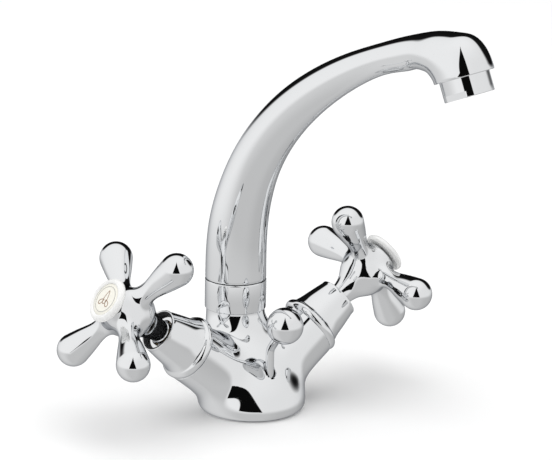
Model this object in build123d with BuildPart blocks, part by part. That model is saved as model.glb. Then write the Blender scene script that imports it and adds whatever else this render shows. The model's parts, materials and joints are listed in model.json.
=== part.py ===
from build123d import *

import os
from math import cos, radians, sin

# Two-handle monobloc basin mixer with a swivelling swan-neck spout and a pop-up waste lift rod.
#
# Millimetres, +Z up. The origin is the centre of the foot on the deck plane. The two arms rise
# towards -X (hot) and +X (cold), and the front of the basin is -Y. The spout is modelled swung
# SPOUT_SWING degrees from straight ahead towards the cold side, which is its rest pose.

# ---- foot and column of the cast body
FOOT_R = 25.8
FOOT_EDGE = 3.5  # rounding of the foot's lower edge
COLUMN_Y = 16.0  # the column stands behind the centre of the foot
COLUMN_R = 14.2
COLUMN_TOP = 46.7
FOOT_TOP = 6.5  # where the foot's upright wall starts to draw in towards the column
SECTIONS = 8  # round sections from there up to the column

# ---- arms, bonnets and valves, measured along each arm from the point where the two axes meet
ARM_RISE = 34.6  # degrees above the deck
ARM_Y = 2.9
ARM_Z = 10.3
ARM_R = 15.0
ARM_ROOT = 8.0
ARM_END = 41.0
ARM_BLEND = 6.0
FIT = 0.05  # running clearance between turned parts

# ---- valve chamber and what stands in it, bottom to top
SEAT = 16.0  # floor of the valve chamber
SEAT_PORT_R = 3.8
SEAT_SEAL_R = (5.7, 7.3)
SEAT_SEAL_DEPTH = 3.0
CHAMBER_R = 9.2
CHAMBER_OUTLET = 24.0
WATERWAY_R = 3.2
THREAD_R = 10.5  # G 1/2 valve thread
THREAD_START = 31.0
CERAMIC_R = 7.4
CERAMIC_DEPTH = 3.0
FIXED_DISC_LOW = SEAT + SEAT_SEAL_DEPTH
MOVING_DISC_LOW = FIXED_DISC_LOW + CERAMIC_DEPTH + FIT
MOVING_DISC_TOP = MOVING_DISC_LOW + CERAMIC_DEPTH
DISC_PORT_R = 2.8
DISC_PORT_REACH = 4.0  # one port to each side, so half a turn brings the two in line
TONGUE_WIDTH = 2.4
TONGUE_DEPTH = 1.3
VALVE_SKIRT_R = 8.9
VALVE_SKIRT_LOW = SEAT + 1.2
VALVE_FLANGE_R = 11.6
VALVE_FLANGE_DEPTH = 1.6
VALVE_NECK_R = 8.0
VALVE_NECK_TOP = 56.5
SPINDLE_BORE_R = 4.0
SPINDLE_R = SPINDLE_BORE_R - FIT
SPINDLE_SHOULDER = 29.0  # top of the wide foot that drives the moving disc
SPANNER_HEX_R = 11.4
SPANNER_HEX_DEPTH = 5.2
WINDOW_R = 1.9
WINDOW_HEIGHT = 27.0
SPINDLE_SEAL_LOW = 44.0
SPINDLE_GROOVE_DEPTH = 1.05
SPINDLE_GROOVE_WIDTH = 2.4
SPINDLE_SEAL_R = 0.52
CIRCLIP_LOW = 57.0
CIRCLIP_WIDTH = 1.1
CIRCLIP_R = (3.25, 6.0)
SPLINE_LOW = 62.0
SPINDLE_TOP = 75.0
SPLINE_R = 3.5
SPLINES = 20

BEAD_R = 15.9
BEAD_WIDTH = 5.0
SLEEVE_R = 14.1
SLEEVE_WAIST_R = 12.6
BONNET_BORE_R = 12.0
BONNET_EYE_R = 6.6
BONNET_GRIP = (50.0, 53.5)  # stretch where the bonnet sits on the valve's neck
MOUTH = 64.2
MOUTH_R = 10.5

# ---- cross handles
HANDLE_BACK = 60.2
CROSS = 86.4  # plane of the four lobes
LOBE_REACH = 34.4  # handle axis to the centre of a lobe's ball end
LOBE_R = 8.0
LOBE_WAIST = 16.0
LOBE_WAIST_R = 4.7
LOBE_BLEND = 4.0
HANDLE_SOCKET_R = 4.0
HANDLE_SOCKET_TOP = 76.0
SCREW_HEAD_LOW = 80.0
SCREW_SHANK_LOW = 66.0
SCREW_R = 2.0
SCREW_HEAD_R = 3.8
CAP_RECESS_R = 6.0
BARREL_TOP = 96.0
BARREL_R = 8.6
INDEX_FACE = 99.5
INDEX_R = 11.1
DISC_R = 8.1
# outline of the hub, radius and distance along the axis, from its neck to the index cap
HUB = (
    (5.5, 65.0),
    (7.3, 71.8),
    (11.0, 78.0),
    (11.6, 83.0),
    (10.4, 88.5),
    (BARREL_R, BARREL_TOP),
)
LOBE_ROOT_R = 6.2
# outline of a lobe's ball end, from where the club runs into it round to the tip
BALL_END = [
    (LOBE_R * sin(radians(turned)), LOBE_REACH + LOBE_R * cos(radians(turned)))
    for turned in (101, 80, 60, 40, 20, 0)
]
# outline of a lobe's club, radius and distance from the handle's axis
CLUB = (
    (LOBE_ROOT_R, 6.0),
    (5.3, 10.5),
    (LOBE_WAIST_R, LOBE_WAIST),
    (6.2, 24.5),
    BALL_END[0],
)
# turn of each handle about its own axis, from the upright lobe
HANDLE_TURN = {"hot": -52.9, "cold": -11.9}

# ---- swivel joint and spout
NUT_R = 15.0
NUT_LOW = COLUMN_TOP + 0.1
NUT_TOP = 61.4
SPIGOT_R = 12.9
SPIGOT_TOP = 56.0
COLUMN_BORE_R = 10.0
CHAMBER_FLOOR = 31.0  # floor of the mixing chamber in the column
TAIL_R = COLUMN_BORE_R - 0.07
SPOUT_SWING = 18.4
SPOUT_BASE = 61.7
SPOUT_WALL = 2.0
PLUG_R = 11.0
PLUG_TOP = 72.0
TAIL_LOW = 34.0
TAIL_BORE_R = 7.5
TAIL_FLANGE_R = 12.3
TAIL_FLANGE_DEPTH = 1.95
TAIL_GROOVES = (38.0, 48.0)
TAIL_GROOVE_WIDTH = 2.4
TAIL_SEAL_R = 0.84
WASHER_R = 12.4
NUT_LIP = 1.4  # thickness of the nut's inward lip
# reach, height, outer radius and rise of the spout's axis (degrees above level)
SPOUT_STATIONS = (
    (0.0, SPOUT_BASE, 14.9, 90.0),
    (0.0, PLUG_TOP, 14.8, 90.0),
    (1.3, 90.0, 14.3, 83.0),
    (4.9, 105.0, 13.4, 72.5),
    (11.0, 120.5, 12.4, 62.5),
    (20.5, 136.0, 11.5, 53.5),
    (33.5, 150.7, 10.6, 44.0),
    (50.0, 164.1, 9.4, 35.5),
    (68.5, 175.2, 8.0, 27.0),
    (86.5, 182.9, 7.4, 20.0),
    (101.0, 187.0, 8.3, 10.0),
    (111.0, 187.9, 10.5, -2.0),
    (118.5, 187.0, 12.2, -11.0),
)
HEAD_R = 14.1
HEAD_RISE = 19.8  # top of the domed head above the mouth, along the outlet axis
# outline of the head, radius and distance along the outlet axis, from its top down to the mouth
DOME_FULLNESS = 0.83  # 1 gives an ellipse, and less a squarer shoulder
DOME = [
    (HEAD_R * sin(radians(turned)) ** DOME_FULLNESS, -HEAD_RISE * cos(radians(turned)) ** DOME_FULLNESS)
    for turned in (0, 18, 36, 54, 72, 90)
]
HEAD_BORE_R = 7.5
OUTLET_TILT = 21.4  # outlet axis from plumb, towards the front
MOUTH_REACH = 127.8
MOUTH_HEIGHT = 179.9

# ---- aerator, measured from the mouth along the outlet axis
AERATOR_R = 11.6
AERATOR_DROP = 9.2
AERATOR_FLATS = 20.4
AERATOR_FLATS_DEPTH = 2.9
OUTLET_BORE_R = 12.05
OUTLET_BORE_DEPTH = 10.0
AERATOR_BORE_R = 9.4
AERATOR_WASHER_DEPTH = 2.0
CELL_R = 1.25
CELL_WEB = 0.2

# ---- pop-up waste lift rod: upright through the foot, then bent forward to the knob
ROD_Y = -14.8
ROD_R = 2.0
ROD_LOW = 1.0
ROD_BEND_HEIGHT = 33.0
ROD_BEND_R = 6.0
ROD_CLEARANCE = 0.7  # around the rod where it comes out of the foot
KNOB_Y = -26.9
KNOB_Z = 48.2
KNOB_R = 8.9
BUSH_LOW = 5.0
BUSH_TOP = 17.0
BUSH_R = 3.4

# ---- ports in the underside
INLET_X = 9.5
INLET_Y = -1.0
INLET_R = 4.5  # M10 x 1 hose tails
INLET_DEPTH = 10.0
STUD_Y = 11.0
STUD_R = 3.4  # M8 fixing stud
STUD_DEPTH = 12.0
GASKET_R = (20.4, 23.4)
GASKET_DEPTH = 2.0

CHAMFER = 0.5

DECK = Plane.XY
COLUMN = Plane(origin=(0, COLUMN_Y, 0))
rise = radians(ARM_RISE)
SIDES = {"hot": -1, "cold": 1}
ARMS = {
    side: Plane(
        origin=(0, ARM_Y, ARM_Z),
        x_dir=(-sign * sin(rise), 0, cos(rise)),
        z_dir=(sign * cos(rise), 0, sin(rise)),
    )
    for side, sign in SIDES.items()
}
swing = radians(SPOUT_SWING)
FORWARD = Vector(sin(swing), -cos(swing), 0)
tilt = radians(OUTLET_TILT)
OUTLET_DOWN = FORWARD * sin(tilt) - Vector(0, 0, cos(tilt))
MOUTH_CENTRE = Vector(0, COLUMN_Y, MOUTH_HEIGHT) + FORWARD * MOUTH_REACH
OUTLET = Plane(origin=MOUTH_CENTRE, x_dir=(cos(swing), sin(swing), 0), z_dir=OUTLET_DOWN)
ROD = Plane(origin=(0, ROD_Y, 0))
ROD_BEND = Vector(0, ROD_Y, ROD_BEND_HEIGHT)
KNOB_CENTRE = Vector(0, KNOB_Y, KNOB_Z)
# knob's own frame, looking back down the rod
KNOB = Plane(origin=KNOB_CENTRE, x_dir=(1, 0, 0), z_dir=ROD_BEND - KNOB_CENTRE)


def beside(frame):
    """Plane through the frame's axis: x runs out from the axis and y along it."""
    return Plane(origin=frame.origin, x_dir=frame.x_dir, z_dir=-frame.y_dir)


def turn(frame, outline, mode=Mode.ADD):
    """Turn the outline, (radius, distance along the axis) pairs, about the frame's axis."""
    with BuildSketch(beside(frame)) as section:
        with BuildLine():
            Polyline(*outline, close=True)
        make_face()
    revolve(section.sketch, axis=Axis(frame.origin, frame.z_dir), mode=mode)


def ring(frame, inner, outer, low, high, mode=Mode.ADD):
    """A turned ring, or a disc where the inner radius is 0."""
    turn(frame, [(inner, low), (outer, low), (outer, high), (inner, high)], mode)


def rod_between(start, end, radius, mode=Mode.ADD):
    """A round bar, or a drilling, from one point to another."""
    path = Vector(*end) - Vector(*start)
    with BuildSketch(Plane(origin=start, z_dir=path)) as section:
        Circle(radius)
    extrude(section.sketch, amount=path.length, mode=mode)


def write(piece, name):
    """Label a finished piece and write its STEP file."""
    piece.part.label = name
    export_step(piece.part, f"parts/{name}.step")


# ---------------------------------------------------------------- body and what is fixed to it


def make_body():
    with BuildPart() as faucet_body:
        for step in range(SECTIONS + 1):
            share = step / SECTIONS
            eased = share * share * (3 - 2 * share)
            height = FOOT_TOP + share * (COLUMN_TOP - FOOT_TOP)
            with BuildSketch(Plane.XY.offset(height)):
                with Locations(Location((0, COLUMN_Y * eased, 0), (0, 0, 90))):
                    Circle(FOOT_R + (COLUMN_R - FOOT_R) * eased)
        loft()
        with BuildSketch(beside(DECK)) as foot:
            with BuildLine():
                Line((0, 0), (FOOT_R - FOOT_EDGE, 0))
                RadiusArc((FOOT_R - FOOT_EDGE, 0), (FOOT_R, FOOT_EDGE), -FOOT_EDGE)
                Polyline((FOOT_R, FOOT_EDGE), (FOOT_R, FOOT_TOP), (0, FOOT_TOP), (0, 0))
            make_face()
        revolve(foot.sketch, axis=Axis.Z)
        for arm in ARMS.values():
            ring(arm, 0, ARM_R, ARM_ROOT, ARM_END)
        # cast blend along the two free-form edges where an arm meets the foot
        free_edges = faucet_body.edges().filter_by(GeomType.BSPLINE)
        fillet(free_edges.filter_by(lambda edge: abs(edge.center().X) > FOOT_R - 3), ARM_BLEND)
        ring(COLUMN, 0, SPIGOT_R, COLUMN_TOP - 1, SPIGOT_TOP)
        # mixing chamber, and for each side the inlet, the valve seat, its chamber and the way out of it
        ring(COLUMN, 0, COLUMN_BORE_R, CHAMBER_FLOOR, SPIGOT_TOP, Mode.SUBTRACT)
        mixing_point = (0, COLUMN_Y - 2, CHAMBER_FLOOR + 5)
        for side, arm in ARMS.items():
            inlet = Plane(origin=(SIDES[side] * INLET_X, INLET_Y, 0))
            ring(inlet, 0, INLET_R, 0, INLET_DEPTH, Mode.SUBTRACT)
            ring(inlet, 0, INLET_R - 1, 0, INLET_DEPTH + 7, Mode.SUBTRACT)
            ring(arm, 0, SEAT_PORT_R, ARM_ROOT + 1, SEAT, Mode.SUBTRACT)
            ring(arm, 0, CHAMBER_R, SEAT, THREAD_START, Mode.SUBTRACT)
            ring(arm, 0, THREAD_R, THREAD_START, ARM_END, Mode.SUBTRACT)
            outlet = arm.from_local_coords((0, 0, CHAMBER_OUTLET))
            rod_between(outlet, mixing_point, WATERWAY_R, Mode.SUBTRACT)
        # tunnel and guide seat of the lift rod
        ring(ROD, 0, ROD_R + ROD_CLEARANCE, 0, COLUMN_TOP, Mode.SUBTRACT)
        ring(ROD, 0, BUSH_R, 0, BUSH_TOP, Mode.SUBTRACT)
        # fixing stud and gasket groove
        ring(Plane(origin=(0, STUD_Y, 0)), 0, STUD_R, 0, STUD_DEPTH, Mode.SUBTRACT)
        ring(DECK, *GASKET_R, 0, GASKET_DEPTH, Mode.SUBTRACT)
    write(faucet_body, "faucet_body")


def make_base_gasket():
    with BuildPart() as base_gasket:
        ring(DECK, *GASKET_R, 0, GASKET_DEPTH)
    write(base_gasket, "base_gasket")


def make_rod_bush():
    with BuildPart() as rod_bush:
        ring(ROD, ROD_R + 0.07, BUSH_R, BUSH_LOW, BUSH_TOP)
    write(rod_bush, "rod_bush")


def make_spout_nut():
    """Union nut that holds the spout down on the column."""
    with BuildPart() as spout_nut:
        turn(
            COLUMN,
            [
                (SPIGOT_R + FIT, NUT_LOW),
                (NUT_R - CHAMFER, NUT_LOW),
                (NUT_R, NUT_LOW + CHAMFER),
                (NUT_R, NUT_TOP - CHAMFER),
                (NUT_R - CHAMFER, NUT_TOP),
                (PLUG_R + 0.3, NUT_TOP),
                (PLUG_R + 0.3, NUT_TOP - NUT_LIP),
                (SPIGOT_R + FIT, NUT_TOP - NUT_LIP),
            ],
        )
    write(spout_nut, "spout_nut")


def make_swivel_washers():
    with BuildPart() as lower:
        ring(COLUMN, COLUMN_BORE_R + FIT, WASHER_R, SPIGOT_TOP, SPIGOT_TOP + 1)
    write(lower, "swivel_washer_lower")
    with BuildPart() as upper:
        ring(COLUMN, PLUG_R + 0.3, WASHER_R, NUT_TOP - NUT_LIP - 0.9, NUT_TOP - NUT_LIP)
    write(upper, "swivel_washer_upper")


# ---------------------------------------------------------------- spout and aerator


def spout_plane(reach, height, slope):
    """Plane square to the spout's axis at one station."""
    angle = radians(slope)
    along = FORWARD * cos(angle) + Vector(0, 0, sin(angle))
    return Plane(
        origin=Vector(0, COLUMN_Y, height) + FORWARD * reach,
        x_dir=(cos(swing), sin(swing), 0),
        z_dir=along,
    )


def make_spout():
    with BuildPart() as spout:
        for reach, height, radius, slope in SPOUT_STATIONS:
            with BuildSketch(spout_plane(reach, height, slope)):
                Circle(radius)
        loft()
        with BuildSketch(beside(OUTLET)):
            with BuildLine():
                Spline(*DOME, tangents=[(1, 0), (0, 1)])
                Polyline(DOME[-1], (0, 0), DOME[0])
            make_face()
        revolve(axis=Axis(OUTLET.origin, OUTLET.z_dir))
        # bore the head for the aerator
        ring(OUTLET, 0, OUTLET_BORE_R, -OUTLET_BORE_DEPTH, 0, Mode.SUBTRACT)
        ring(COLUMN, 0, PLUG_R, SPOUT_BASE, PLUG_TOP, Mode.SUBTRACT)
        for reach, height, radius, slope in SPOUT_STATIONS[1:-1]:
            with BuildSketch(spout_plane(reach, height, slope)):
                Circle(radius - SPOUT_WALL)
        loft(mode=Mode.SUBTRACT)
        last = SPOUT_STATIONS[-2]
        start = spout_plane(last[0] - 0.5, last[1], last[3]).origin
        end = OUTLET.from_local_coords((0, 0, 1 - OUTLET_BORE_DEPTH))
        rod_between(start, end, HEAD_BORE_R, Mode.SUBTRACT)
    write(spout, "spout")


def make_spout_tail():
    """Turned tail pressed into the spout: it turns in the column's bore, with two seal grooves."""
    flange_low = SPIGOT_TOP + 1 + FIT
    with BuildPart() as spout_tail:
        turn(
            COLUMN,
            [
                (TAIL_BORE_R, TAIL_LOW),
                (TAIL_R - CHAMFER, TAIL_LOW),
                (TAIL_R, TAIL_LOW + CHAMFER),
                (TAIL_R, flange_low),
                (TAIL_FLANGE_R, flange_low),
                (TAIL_FLANGE_R, flange_low + TAIL_FLANGE_DEPTH),
                (PLUG_R, flange_low + TAIL_FLANGE_DEPTH),
                (PLUG_R, PLUG_TOP),
                (TAIL_BORE_R, PLUG_TOP),
            ],
        )
        for low in TAIL_GROOVES:
            inner = TAIL_R - 2 * TAIL_SEAL_R
            ring(COLUMN, inner, TAIL_R + 1, low, low + TAIL_GROOVE_WIDTH, Mode.SUBTRACT)
    write(spout_tail, "spout_tail")


def make_tail_seals():
    with BuildPart() as tail_seals:
        for low in TAIL_GROOVES:
            with BuildSketch(beside(COLUMN)) as section:
                with Locations((TAIL_R - TAIL_SEAL_R, low + TAIL_GROOVE_WIDTH / 2)):
                    Circle(TAIL_SEAL_R - 0.01)
            revolve(section.sketch, axis=Axis(COLUMN.origin, COLUMN.z_dir))
    write(tail_seals, "tail_seals")


def make_aerator():
    thread_top = AERATOR_WASHER_DEPTH - OUTLET_BORE_DEPTH
    with BuildPart() as aerator_housing:
        turn(
            OUTLET,
            [
                (AERATOR_BORE_R, thread_top),
                (OUTLET_BORE_R - FIT, thread_top),
                (OUTLET_BORE_R - FIT, 0.0),
                (AERATOR_R, CHAMFER),
                (AERATOR_R, AERATOR_DROP - CHAMFER),
                (AERATOR_R - CHAMFER, AERATOR_DROP),
                (AERATOR_BORE_R + CHAMFER, AERATOR_DROP),
                (AERATOR_BORE_R, AERATOR_DROP - CHAMFER),
            ],
        )
        with BuildSketch(OUTLET.offset(AERATOR_DROP - AERATOR_FLATS_DEPTH)) as flats:
            Rectangle(4 * AERATOR_R, 4 * AERATOR_R)
            Rectangle(AERATOR_FLATS, 4 * AERATOR_R, mode=Mode.SUBTRACT)
        extrude(flats.sketch, amount=AERATOR_DROP, mode=Mode.SUBTRACT)
    write(aerator_housing, "aerator_housing")

    with BuildPart() as aerator_insert:
        ring(OUTLET, 0, AERATOR_BORE_R - FIT, thread_top + 2, AERATOR_DROP - 1.6)
        with BuildSketch(OUTLET.offset(thread_top)) as honeycomb:
            with HexLocations(CELL_R, 7, 7):
                RegularPolygon(CELL_R - CELL_WEB, 6, major_radius=False)
            Circle(AERATOR_BORE_R - 1, mode=Mode.INTERSECT)
        extrude(honeycomb.sketch, amount=2 * AERATOR_DROP, mode=Mode.SUBTRACT)
    write(aerator_insert, "aerator_insert")

    with BuildPart() as aerator_washer:
        ring(OUTLET, HEAD_BORE_R + 0.1, OUTLET_BORE_R - 0.4, -OUTLET_BORE_DEPTH, thread_top)
    write(aerator_washer, "aerator_washer")


# ---------------------------------------------------------------- one side's valve, bonnet and handle


def make_valve_discs(side, arm):
    """Rubber seat and the two ceramic discs: the lower one stays and the upper one turns on it."""
    with BuildPart() as seat_seal:
        ring(arm, *SEAT_SEAL_R, SEAT, SEAT + SEAT_SEAL_DEPTH)
    write(seat_seal, f"{side}_seat_seal")

    with BuildPart() as fixed_disc:
        ring(arm, 0, CERAMIC_R, FIXED_DISC_LOW, FIXED_DISC_LOW + CERAMIC_DEPTH)
        with BuildSketch(arm.offset(FIXED_DISC_LOW)) as ports:
            with Locations((0, DISC_PORT_REACH)):
                Circle(DISC_PORT_R)
        extrude(ports.sketch, amount=CERAMIC_DEPTH, mode=Mode.SUBTRACT)
    write(fixed_disc, f"{side}_fixed_disc")

    with BuildPart() as moving_disc:
        ring(arm, 0, CERAMIC_R - 0.1, MOVING_DISC_LOW, MOVING_DISC_TOP)
        with BuildSketch(arm.offset(MOVING_DISC_LOW)) as ports:
            with Locations((0, -DISC_PORT_REACH)):
                Circle(DISC_PORT_R)
        extrude(ports.sketch, amount=CERAMIC_DEPTH, mode=Mode.SUBTRACT)
        with BuildSketch(arm.offset(MOVING_DISC_TOP)) as slot:
            Rectangle(4 * CERAMIC_R, TONGUE_WIDTH + 0.2)
        extrude(slot.sketch, amount=-TONGUE_DEPTH - FIT, mode=Mode.SUBTRACT)
    write(moving_disc, f"{side}_moving_disc")


def make_valve_body(side, arm):
    """Screwed valve body: skirt with water windows, thread, flange, hexagon and plain neck."""
    flange_low = ARM_END + FIT
    flange_top = ARM_END + VALVE_FLANGE_DEPTH
    with BuildPart() as valve_body:
        turn(
            arm,
            [
                (CERAMIC_R + FIT, VALVE_SKIRT_LOW),
                (VALVE_SKIRT_R, VALVE_SKIRT_LOW),
                (VALVE_SKIRT_R, THREAD_START),
                (THREAD_R - FIT, THREAD_START + CHAMFER),
                (THREAD_R - FIT, flange_low),
                (VALVE_FLANGE_R, flange_low),
                (VALVE_FLANGE_R, flange_top),
                (VALVE_NECK_R, flange_top),
                (VALVE_NECK_R, VALVE_NECK_TOP),
                (SPINDLE_BORE_R, VALVE_NECK_TOP),
                (SPINDLE_BORE_R, SPINDLE_SHOULDER + CHAMFER),
                (CERAMIC_R + FIT, SPINDLE_SHOULDER + CHAMFER),
            ],
        )
        with BuildSketch(arm.offset(flange_top)) as spanner_hex:
            RegularPolygon(SPANNER_HEX_R, 6)
            Circle(VALVE_NECK_R - 1, mode=Mode.SUBTRACT)
        extrude(spanner_hex.sketch, amount=SPANNER_HEX_DEPTH)
        for x, y in ((THREAD_R, 0), (0, THREAD_R)):
            start = arm.from_local_coords((x, y, WINDOW_HEIGHT))
            end = arm.from_local_coords((-x, -y, WINDOW_HEIGHT))
            rod_between(start, end, WINDOW_R, Mode.SUBTRACT)
    write(valve_body, f"{side}_valve_body")


def make_spindle(side, arm):
    """Spindle with its drive tongue, seal groove, circlip groove, splines and screw hole."""
    groove_r = SPINDLE_R - SPINDLE_GROOVE_DEPTH
    groove_top = SPINDLE_SEAL_LOW + SPINDLE_GROOVE_WIDTH
    clip_r = CIRCLIP_R[0] - FIT
    clip_top = CIRCLIP_LOW + CIRCLIP_WIDTH
    foot_low = MOVING_DISC_TOP + FIT
    with BuildPart() as spindle:
        turn(
            arm,
            [
                (0, foot_low),
                (CERAMIC_R - 0.4, foot_low),
                (CERAMIC_R - 0.4, SPINDLE_SHOULDER),
                (SPINDLE_R, SPINDLE_SHOULDER),
                (SPINDLE_R, SPINDLE_SEAL_LOW),
                (groove_r, SPINDLE_SEAL_LOW),
                (groove_r, groove_top),
                (SPINDLE_R, groove_top),
                (SPINDLE_R, CIRCLIP_LOW),
                (clip_r, CIRCLIP_LOW),
                (clip_r, clip_top),
                (SPINDLE_R, clip_top),
                (SPINDLE_R, SPLINE_LOW),
                (SPLINE_R, SPLINE_LOW),
                (SPLINE_R, SPINDLE_TOP),
                (SCREW_R, SPINDLE_TOP),
                (SCREW_R, SCREW_SHANK_LOW - 1),
                (0, SCREW_SHANK_LOW - 1),
            ],
        )
        with BuildSketch(arm.offset(foot_low)) as tongue:
            Rectangle(1.6 * CERAMIC_R, TONGUE_WIDTH)
        extrude(tongue.sketch, amount=-TONGUE_DEPTH)
        # notch over the moving disc's port, through which the water leaves sideways
        with BuildSketch(arm.offset(foot_low)) as notch:
            with Locations((0, -DISC_PORT_REACH - TONGUE_WIDTH)):
                Rectangle(2 * DISC_PORT_R, 2 * DISC_PORT_REACH)
        extrude(notch.sketch, amount=SPINDLE_SHOULDER - foot_low - 1, mode=Mode.SUBTRACT)
        with BuildSketch(arm.offset(SPLINE_LOW)) as splines:
            with PolarLocations(SPLINE_R, SPLINES):
                Rectangle(0.9, 0.55)
        extrude(splines.sketch, amount=SPINDLE_TOP - SPLINE_LOW)
    write(spindle, f"{side}_spindle")


def make_spindle_rings(side, arm):
    with BuildPart() as spindle_seal:
        with BuildSketch(beside(arm)) as section:
            seal_height = SPINDLE_SEAL_LOW + SPINDLE_GROOVE_WIDTH / 2
            with Locations((SPINDLE_BORE_R - FIT - SPINDLE_SEAL_R, seal_height)):
                Circle(SPINDLE_SEAL_R)
        revolve(section.sketch, axis=Axis(arm.origin, arm.z_dir))
    write(spindle_seal, f"{side}_spindle_seal")

    with BuildPart() as circlip:
        ring(arm, *CIRCLIP_R, CIRCLIP_LOW + FIT, CIRCLIP_LOW + CIRCLIP_WIDTH - FIT)
        with BuildSketch(arm.offset(CIRCLIP_LOW)) as gap:
            with Locations((CIRCLIP_R[1] - 1, 0)):
                Rectangle(8, TONGUE_WIDTH)
        extrude(gap.sketch, amount=2 * CIRCLIP_WIDTH, mode=Mode.SUBTRACT)
    write(circlip, f"{side}_circlip")


def make_bonnet(side, arm):
    """Chromed sleeve over the valve, with a bead at its foot and a dished mouth."""
    bead_low = ARM_END + 2 * FIT
    bead_high = bead_low + BEAD_WIDTH
    floor_low = MOUTH - 5.6
    neck_r = VALVE_NECK_R + FIT
    with BuildPart() as bonnet:
        with BuildSketch(beside(arm)) as section:
            with BuildLine():
                Line((BONNET_BORE_R, bead_low), (BEAD_R - 1.6, bead_low))
                ThreePointArc(
                    (BEAD_R - 1.6, bead_low),
                    (BEAD_R, bead_low + BEAD_WIDTH / 2),
                    (SLEEVE_R, bead_high),
                )
                Spline((SLEEVE_R, bead_high), (SLEEVE_WAIST_R, bead_high + 7), (MOUTH_R, MOUTH - 1.3))
                ThreePointArc(
                    (MOUTH_R, MOUTH - 1.3),
                    (MOUTH_R - 0.9, MOUTH),
                    (MOUTH_R - 1.9, MOUTH - 0.7),
                )
                Polyline(
                    (MOUTH_R - 1.9, MOUTH - 0.7),
                    (BONNET_EYE_R, MOUTH - 4.2),
                    (BONNET_EYE_R, floor_low),
                    (neck_r + FIT, floor_low),
                    (neck_r, BONNET_GRIP[1]),
                    (neck_r, BONNET_GRIP[0]),
                    (BONNET_BORE_R, BONNET_GRIP[0] - 1.8),
                    (BONNET_BORE_R, bead_low),
                )
            make_face()
        revolve(section.sketch, axis=Axis(arm.origin, arm.z_dir))
    write(bonnet, f"{side}_bonnet")


def make_handle(side, arm):
    turned = radians(HANDLE_TURN[side])
    between = turned + radians(45)
    hub_x = arm.x_dir * cos(between) - arm.y_dir * sin(between)
    hub_frame = Plane(origin=arm.origin, x_dir=hub_x, z_dir=arm.z_dir)
    with BuildPart() as handle:
        with BuildSketch(beside(hub_frame)) as hub:
            with BuildLine():
                Polyline((0, HANDLE_BACK), (HUB[0][0], HANDLE_BACK), HUB[0])
                Spline(*HUB)
                Polyline(HUB[-1], (0, BARREL_TOP), (0, HANDLE_BACK))
            make_face()
        revolve(hub.sketch, axis=Axis(arm.origin, arm.z_dir))
        centre = arm.from_local_coords((0, 0, CROSS))
        for quarter in range(4):
            angle = turned + radians(90 * quarter)
            outward = arm.x_dir * cos(angle) - arm.y_dir * sin(angle)
            lobe_frame = Plane(origin=centre, x_dir=arm.z_dir, z_dir=outward)
            with BuildSketch(beside(lobe_frame)) as lobe:
                with BuildLine():
                    Polyline((0, 0), (LOBE_ROOT_R, 0), CLUB[0])
                    Spline(*CLUB)
                    Spline(*BALL_END, tangents=[(0.18, 1), (-1, 0)])
                    Line(BALL_END[-1], (0, 0))
                make_face()
            revolve(lobe.sketch, axis=Axis(lobe_frame.origin, lobe_frame.z_dir))
        # spindle socket, screw hole and the recess under the index cap
        ring(arm, 0, HANDLE_SOCKET_R, HANDLE_BACK - 1, HANDLE_SOCKET_TOP, Mode.SUBTRACT)
        ring(arm, 0, SCREW_R + 0.2, HANDLE_SOCKET_TOP - 1, SCREW_HEAD_LOW + 1, Mode.SUBTRACT)
        ring(arm, 0, CAP_RECESS_R, SCREW_HEAD_LOW, BARREL_TOP + 1, Mode.SUBTRACT)
        # cast blend round the root of each lobe
        free_edges = handle.edges().filter_by(GeomType.BSPLINE)
        fillet(free_edges.filter_by(lambda edge: edge.is_closed), LOBE_BLEND)
    write(handle, f"{side}_handle")


def make_handle_screw(side, arm):
    head_top = SCREW_HEAD_LOW + 2.6
    with BuildPart() as handle_screw:
        ring(arm, 0, SCREW_R - FIT, SCREW_SHANK_LOW, SCREW_HEAD_LOW)
        turn(
            arm,
            [
                (0, SCREW_HEAD_LOW),
                (SCREW_HEAD_R, SCREW_HEAD_LOW),
                (SCREW_HEAD_R, head_top - 1),
                (SCREW_HEAD_R - 1, head_top),
                (0, head_top),
            ],
        )
        with BuildSketch(arm.offset(head_top)) as cross_slot:
            Rectangle(4.4, 0.9)
            Rectangle(0.9, 4.4)
        extrude(cross_slot.sketch, amount=-1.2, mode=Mode.SUBTRACT)
    write(handle_screw, f"{side}_handle_screw")


def make_index_cap(side, arm):
    """Rounded rim that plugs into the hub, with the colour disc let into its face."""
    rim_low = (INDEX_R - 0.8, BARREL_TOP)
    rim_high = (INDEX_R - 1.2, INDEX_FACE - 0.3)
    disc_edge = (DISC_R, INDEX_FACE - 0.5)
    disc_low = INDEX_FACE - 2.0
    plug_low = BARREL_TOP - 3
    with BuildPart() as index_ring:
        with BuildSketch(beside(arm)) as section:
            with BuildLine():
                Polyline(
                    (0, disc_low),
                    (0, plug_low),
                    (CAP_RECESS_R - FIT, plug_low),
                    (CAP_RECESS_R - FIT, BARREL_TOP),
                    rim_low,
                )
                Spline(rim_low, (INDEX_R, BARREL_TOP + 1.4), rim_high)
                Spline(rim_high, (INDEX_R - 2.3, INDEX_FACE), disc_edge)
                Polyline(disc_edge, (DISC_R, disc_low), (0, disc_low))
            make_face()
        revolve(section.sketch, axis=Axis(arm.origin, arm.z_dir))
    write(index_ring, f"{side}_index_ring")

    with BuildPart() as index_disc:
        turn(
            arm,
            [
                (0, disc_low),
                (DISC_R - FIT, disc_low),
                (DISC_R - FIT, INDEX_FACE - 0.9),
                (DISC_R - CHAMFER, INDEX_FACE - 0.6),
                (0, INDEX_FACE - 0.4),
            ],
        )
    write(index_disc, f"{side}_index_disc")


# ---------------------------------------------------------------- pop-up waste lift rod


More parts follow.
